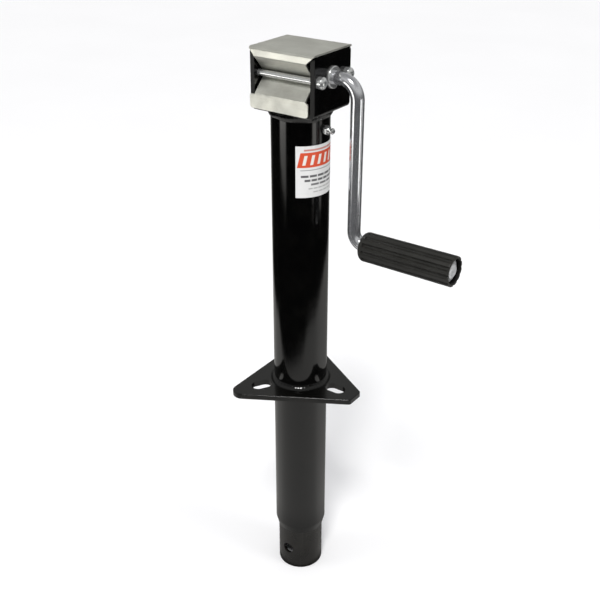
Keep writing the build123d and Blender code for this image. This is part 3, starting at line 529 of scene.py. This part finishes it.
# --------------------------------------------------------------------- studio
FLOOR_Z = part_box("inner_leg")[0].z
TOWARDS = Vector((0.582, -0.813, 0.0)).normalized()  # from the tube to the camera
RIGHT = Vector((0.813, 0.582, 0.0)).normalized()  # the picture's right


def heading(degrees):
    """Level direction, 0 towards the camera and positive towards the picture's right."""
    a = math.radians(degrees)
    return TOWARDS * math.cos(a) + RIGHT * math.sin(a)


def plain_material(name, colour, rough=0.8):
    s = Shader(name)
    tone = s.range(s.noise(3.0, 2.0, 0.5), 0.3, 0.7, 0.0, 1.0)
    s.set("Base Color", s.mix(tone, colour, tuple(0.985 * c for c in colour)))
    s.set("Roughness", rough)
    s.set("Specular IOR Level", 0.0)
    return s.mat


def floor_mesh():
    size = 14.0
    points = [
        (-size, -size, FLOOR_Z),
        (size, -size, FLOOR_Z),
        (size, size, FLOOR_Z),
        (-size, size, FLOOR_Z),
    ]
    return mesh_object(
        "studio_floor", points, [(0, 1, 2, 3)], plain_material("studio_floor", (0.91, 0.91, 0.92)), False
    )


floor = floor_mesh()
floor.visible_glossy = False


def blend_step(value, low, high):
    t = np.clip((value - low) / (high - low), 0, 1)
    return t * t * (3 - 2 * t)


def table_reach(psi):
    """How far the lit table top goes in each direction, in metres."""
    angle = [-180, -163, -152, -138, -120, -105, -100, -93, -82, -71, -61, -40, -20, 0, 13, 22, 30, 40, 51, 60, 80, 91, 102, 117, 133, 150, 180]
    reach = [1.10, 0.94, 0.85, 0.73, 0.665, 0.645, 0.62, 0.575, 0.52, 0.49, 0.475, 0.48, 0.495, 0.515, 0.54, 0.58, 0.61, 0.63, 0.643, 0.65, 0.70, 0.745, 0.79, 0.84, 0.90, 0.97, 1.10]
    return np.interp(psi, angle, reach)


def light_field(psi, distance):
    """Brightness that glossy surfaces see on the level of the floor."""
    edge = table_reach(psi)
    # the glow drops towards the back right, a painted shadow of the jack on the table
    level = np.interp(
        psi,
        [-180, -160, -125, -108, -95, 0, 60, 80, 95, 105, 125, 137, 180],
        [0.42, 0.46, 0.56, 0.64, 0.75, 0.70, 0.74, 0.83, 0.75, 0.63, 0.40, 0.29, 0.28],
    )
    table = level * (1 - blend_step(distance, edge - 0.035, edge + 0.035))
    # painted shadow of the jack's foot: the table's glow is dimmed close by
    table = table * (0.45 + 0.55 * blend_step(distance, 0.06, 0.14))

    def strip(low, high, soft):
        return blend_step(psi, low - soft, low + soft) * (
            1 - blend_step(psi, high - soft, high + soft)
        )

    start = np.interp(psi, [-90, -83, -74, -65, -56], [1.68, 1.50, 1.33, 1.25, 1.20])
    left_level = np.clip(1.10 + 1.55 * (distance - 1.41), 0.95, 1.75)
    left_level = left_level + 1.6 * blend_step(distance, 1.76, 2.02)
    left = left_level * strip(-85, -58, 3.0) * blend_step(distance, start - 0.07, start + 0.07)
    right = 1.95 * strip(46, 65, 2.5) * blend_step(distance, 1.19, 1.33)
    thin = 1.05 * strip(78, 88, 2.0) * blend_step(distance, 1.12, 1.22)
    rear = 0.17 * blend_step(np.abs(psi), 138, 156) * blend_step(distance, 0.7, 0.9)
    return np.maximum.reduce([table, left, right, thin, rear]) + 0.014


def reflected_floor():
    """Seen only in reflections: a table top with dark surroundings and strip lights."""
    turns, rings = 300, 114
    radii = np.concatenate([[0.03], np.linspace(0.08, 2.7, rings - 3), [4.0, 8.0]])
    points, values, faces = [], [], []
    for r in radii:
        for i in range(turns):
            psi = -180 + 360 * i / turns
            spot = heading(psi) * r
            points.append((spot.x, spot.y, FLOOR_Z - 0.0005))
            values.append(float(light_field(np.array(psi), np.array(r))))
    for j in range(len(radii) - 1):
        for i in range(turns):
            k = (i + 1) % turns
            faces.append((j * turns + i, j * turns + k, (j + 1) * turns + k, (j + 1) * turns + i))
    s = Shader("reflected_floor")
    s.tree.nodes.remove(s.bsdf)
    glow = s.add("ShaderNodeEmission")
    paint = s.add("ShaderNodeAttribute", attribute_name="glow")
    s.link(paint.outputs["Fac"], glow.inputs["Strength"])
    glow.inputs["Color"].default_value = (1.0, 0.985, 0.95, 1.0)
    s.link(glow.outputs[0], s.out.inputs["Surface"])
    obj = mesh_object("reflected_floor", points, faces, s.mat)
    layer = obj.data.attributes.new("glow", "FLOAT", "POINT")
    layer.data.foreach_set("value", np.array(values, np.float32))
    for flag in ("camera", "diffuse", "transmission", "volume_scatter", "shadow"):
        setattr(obj, "visible_" + flag, False)
    return obj


reflected_floor()


def area_light(name, direction, elevation, distance, size, power, colour=(1, 1, 1)):
    """A soft light aimed at the middle of the jack."""
    target = Vector((0.0, 0.0, 0.05))
    level = math.cos(math.radians(elevation))
    way = heading(direction) * level + Vector((0, 0, math.sin(math.radians(elevation))))
    light = bpy.data.lights.new(name, "AREA")
    light.shape = "RECTANGLE"
    light.size, light.size_y = size
    light.energy = power
    light.color = colour
    obj = bpy.data.objects.new(name, light)
    obj.location = target + way * distance
    obj.rotation_euler = (-way).to_track_quat("-Z", "Y").to_euler()
    bpy.context.scene.collection.objects.link(obj)
    return obj


def sun_light(name, direction, elevation, angle, strength, colour):
    """A distant soft source, so that the floor is lit evenly as far as it is seen."""
    level = math.cos(math.radians(elevation))
    way = heading(direction) * level + Vector((0, 0, math.sin(math.radians(elevation))))
    light = bpy.data.lights.new(name, "SUN")
    light.energy = strength
    light.angle = math.radians(angle)
    light.color = colour
    obj = bpy.data.objects.new(name, light)
    obj.location = way * 3.0
    obj.rotation_euler = (-way).to_track_quat("-Z", "Y").to_euler()
    bpy.context.scene.collection.objects.link(obj)
    return obj


sun_light("key", -9, 56, 12.5, 1.75, (1.0, 0.99, 0.975))
right_fill = area_light("right_fill", 62, 50, 1.9, (0.5, 0.9), 6.0)
left_fill = area_light("left_fill", -80, 48, 2.0, (0.6, 0.9), 5.0)
for quiet in (right_fill, left_fill):
    quiet.visible_glossy = False

world = bpy.data.worlds.new("studio")
bpy.context.scene.world = world
world.use_nodes = True
tree = world.node_tree
tree.nodes.clear()
out = tree.nodes.new("ShaderNodeOutputWorld")
paths = tree.nodes.new("ShaderNodeLightPath")
ambient = tree.nodes.new("ShaderNodeBackground")
ambient.inputs["Color"].default_value = (0.985, 0.99, 1.0, 1.0)
ambient.inputs["Strength"].default_value = 0.60
seen = tree.nodes.new("ShaderNodeBackground")
seen.inputs["Color"].default_value = (1.0, 1.0, 1.0, 1.0)
seen.inputs["Strength"].default_value = 1.05
room = tree.nodes.new("ShaderNodeBackground")
coords = tree.nodes.new("ShaderNodeTexCoord")
split = tree.nodes.new("ShaderNodeSeparateXYZ")
tree.links.new(coords.outputs["Generated"], split.inputs[0])
ramp = tree.nodes.new("ShaderNodeValToRGB")
ramp.color_ramp.elements[0].position = 0.0
ramp.color_ramp.elements[0].color = (0.05, 0.05, 0.05, 1)
ramp.color_ramp.elements[1].position = 1.0
ramp.color_ramp.elements[1].color = (0.19, 0.19, 0.187, 1)
for place, level in ((0.10, 0.16), (0.35, 0.47), (0.60, 0.47), (0.78, 0.29)):
    stop = ramp.color_ramp.elements.new(place)
    stop.color = (level, level, level * 0.975, 1)
tree.links.new(split.outputs["Z"], ramp.inputs["Fac"])
tree.links.new(ramp.outputs["Color"], room.inputs["Color"])
room.inputs["Strength"].default_value = 1.0
glossy_mix = tree.nodes.new("ShaderNodeMixShader")
tree.links.new(paths.outputs["Is Glossy Ray"], glossy_mix.inputs["Fac"])
tree.links.new(ambient.outputs[0], glossy_mix.inputs[1])
tree.links.new(room.outputs[0], glossy_mix.inputs[2])
camera_mix = tree.nodes.new("ShaderNodeMixShader")
tree.links.new(paths.outputs["Is Camera Ray"], camera_mix.inputs["Fac"])
tree.links.new(glossy_mix.outputs[0], camera_mix.inputs[1])
tree.links.new(seen.outputs[0], camera_mix.inputs[2])
tree.links.new(camera_mix.outputs[0], out.inputs["Surface"])

bpy.context.scene.view_settings.view_transform = "Standard"

# --------------------------------------------------------------------- camera
camera = bpy.data.cameras.new("camera")
camera.lens = 55.11
camera.sensor_width = 36.0
camera.shift_x = -0.0009
camera.clip_start, camera.clip_end = 0.01, 60.0
eye = bpy.data.objects.new("camera", camera)
eye.location = (0.4954, -0.6917, 0.5478)
eye.rotation_euler = (math.radians(62.17), 0.0, math.radians(35.61))
bpy.context.scene.collection.objects.link(eye)
bpy.context.scene.camera = eye
